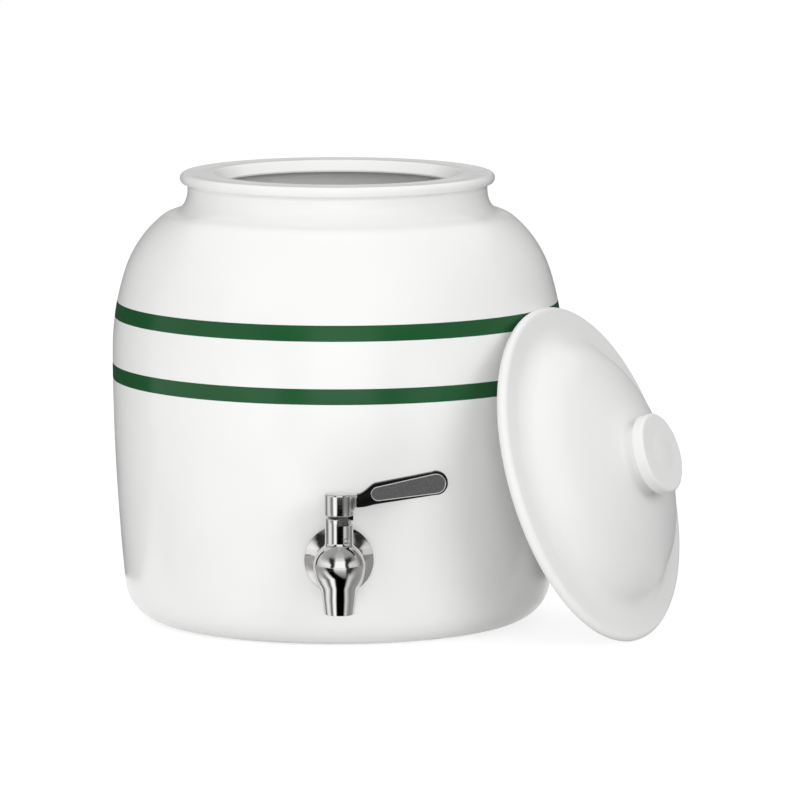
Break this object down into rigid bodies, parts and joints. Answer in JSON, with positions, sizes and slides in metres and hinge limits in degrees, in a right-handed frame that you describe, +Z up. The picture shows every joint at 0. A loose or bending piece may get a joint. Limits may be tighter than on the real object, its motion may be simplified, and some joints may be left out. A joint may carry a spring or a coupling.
{
  "type": "countertop water dispenser",
  "caption": "Glazed porcelain countertop water crock with green bands, a wide bottle mouth, a loose knobbed lid leaning on its side and a quarter-turn lever tap.",
  "frame": {"origin": "centre of the flat base, on the surface that the crock stands on", "axes": "+Z up along the crock's axis, -Y towards the front where the tap is, +X to the right as seen from the front"},
  "size_m": [0.3404, 0.3096, 0.2686],
  "materials": {
    "porcelain": "glossy white glaze",
    "green_glaze": "fired-on green glaze",
    "polished_steel": "polished",
    "screw_steel": "dark steel",
    "grey_seal": "matte",
    "black_seal": "matte",
    "white_seat": "smooth",
    "black_grip": "glossy black",
    "grey_inlay": "satin grey"
  },
  "bodies": {
    "vessel": {"crock": "porcelain", "upper_band": "green_glaze", "lower_band": "green_glaze", "faucet_body": "polished_steel", "threaded_shank": "polished_steel", "escutcheon": "polished_steel", "outer_gasket": "grey_seal", "inner_gasket": "grey_seal", "flat_washer": "polished_steel", "lock_nut": "polished_steel", "inlet_seat": "white_seat", "retaining_pin": "polished_steel"},
    "lever": {"valve_stem": "polished_steel", "lower_o_ring": "black_seal", "upper_o_ring": "black_seal", "lever_hub": "polished_steel", "hub_set_screw": "screw_steel", "lever_grip": "black_grip", "front_inlay": "grey_inlay", "rear_inlay": "grey_inlay"},
    "lid": {"lid": "porcelain"}
  },
  "joints": [
    {"name": "lever_turn", "type": "hinge", "parent": "vessel", "child": "lever", "pos_m": [0, -0.15949, 0.0905], "axis": [0, 0, 1], "range_deg": [-90, 0]},
    {"name": "lid_lift", "type": "slide", "parent": "vessel", "child": "lid", "axis": [0, 0, 1], "range_m": [0, 0.3]}
  ]
}
